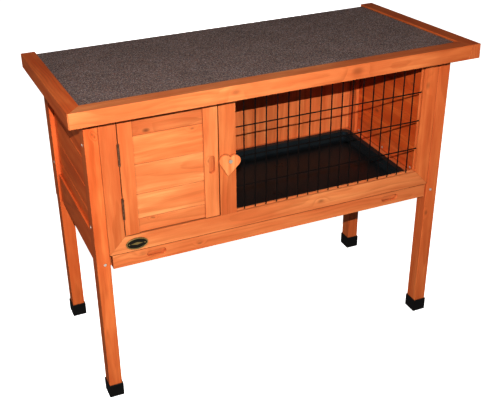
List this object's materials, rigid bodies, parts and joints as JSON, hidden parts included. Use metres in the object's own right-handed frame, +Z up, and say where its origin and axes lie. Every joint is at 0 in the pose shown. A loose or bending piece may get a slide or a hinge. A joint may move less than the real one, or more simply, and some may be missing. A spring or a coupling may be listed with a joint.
{
  "type": "rabbit hutch",
  "caption": "Raised wooden rabbit hutch with hinged felt roof, boarded nest door with heart turn button, wire mesh run and pull-out tray.",
  "frame": {"origin": "centre of the box round the whole hutch, on the ground under its foot caps", "axes": "+X to the right seen from the front, along the hutch's length; -Y out of the front with door and drawer; +Z up"},
  "size_m": [1, 0.4924, 0.7913],
  "materials": {
    "wood_leg": "semi-gloss orange stain, grain upright",
    "wood_upright": "semi-gloss orange stain, grain upright",
    "wood_level": "semi-gloss orange stain, grain level",
    "wood_board": "semi-gloss orange stain, grain level",
    "wood_back": "semi-gloss orange stain, grain upright",
    "wood_inner": "satin orange stain",
    "wood_heart": "satin, lighter orange stain",
    "mineral_felt": "coarse mineral granules on bitumen",
    "tray_plastic": "semi-gloss black",
    "cap_plastic": "fine texture, black",
    "black_wire": "black coating",
    "hinge_steel": "dark bronzed",
    "zinc": "bright zinc",
    "badge_brass": "antique, dark rim"
  },
  "bodies": {
    "body": {"leg_front_left": "wood_leg", "leg_front_right": "wood_leg", "leg_back_left": "wood_leg", "leg_back_right": "wood_leg", "cap_front_left": "cap_plastic", "cap_front_right": "cap_plastic", "cap_back_left": "cap_plastic", "cap_back_right": "cap_plastic", "stile_left": "wood_upright", "stile_right": "wood_upright", "rail_bottom": "wood_level", "rail_top": "wood_level", "post": "wood_upright", "wire_mesh": "black_wire", "badge": "badge_brass", "badge_pins": "badge_brass", "side_rail_bottom_left": "wood_level", "side_rail_bottom_right": "wood_level", "side_rail_top_left": "wood_level", "side_rail_top_right": "wood_level", "side_boards_left": "wood_board", "side_boards_right": "wood_board", "back_panel": "wood_back", "back_rail_bottom": "wood_level", "back_rail_top": "wood_level", "partition": "wood_inner", "floor_board": "wood_inner", "runner_left": "wood_inner", "runner_right": "wood_inner", "leg_screws": "zinc", "rail_screws": "wood_level", "button_screw": "zinc", "door_hinge_frame_leaf_lower": "hinge_steel", "door_hinge_frame_leaf_upper": "hinge_steel", "roof_hinge_frame_leaf_left": "hinge_steel", "roof_hinge_frame_leaf_right": "hinge_steel"},
    "roof": {"roof_board": "wood_board", "roof_felt": "mineral_felt", "trim_front": "wood_level", "trim_left": "wood_level", "trim_right": "wood_level", "roof_batten_left": "wood_inner", "roof_batten_right": "wood_inner", "roof_hinge_leaf_left": "hinge_steel", "roof_hinge_leaf_right": "hinge_steel"},
    "door": {"door_stile_left": "wood_upright", "door_stile_right": "wood_upright", "door_board_1": "wood_board", "door_board_2": "wood_board", "door_board_3": "wood_board", "door_board_4": "wood_board", "door_board_5": "wood_board", "door_ledge_lower": "wood_inner", "door_ledge_upper": "wood_inner", "door_hinge_leaf_lower": "hinge_steel", "door_hinge_leaf_upper": "hinge_steel"},
    "turn_button": {"turn_button": "wood_heart"},
    "drawer": {"drawer_front": "wood_level", "tray": "tray_plastic", "drawer_screws": "zinc"}
  },
  "joints": [
    {"name": "roof_hinge", "type": "hinge", "parent": "body", "child": "roof", "pos_m": [0, 0.23131, 0.74572], "axis": [-1, 0, 0], "range_deg": [0, 95]},
    {"name": "door_hinge", "type": "hinge", "parent": "body", "child": "door", "pos_m": [-0.3875, -0.19168, 0.5925], "axis": [0, 0, -1], "range_deg": [0, 170]},
    {"name": "button_turn", "type": "hinge", "parent": "body", "child": "turn_button", "pos_m": [-0.129, -0.19468, 0.59], "axis": [0, 1, 0], "continuous": true},
    {"name": "drawer_slide", "type": "slide", "parent": "body", "child": "drawer", "axis": [0, -1, 0], "range_m": [0, 0.34]}
  ]
}
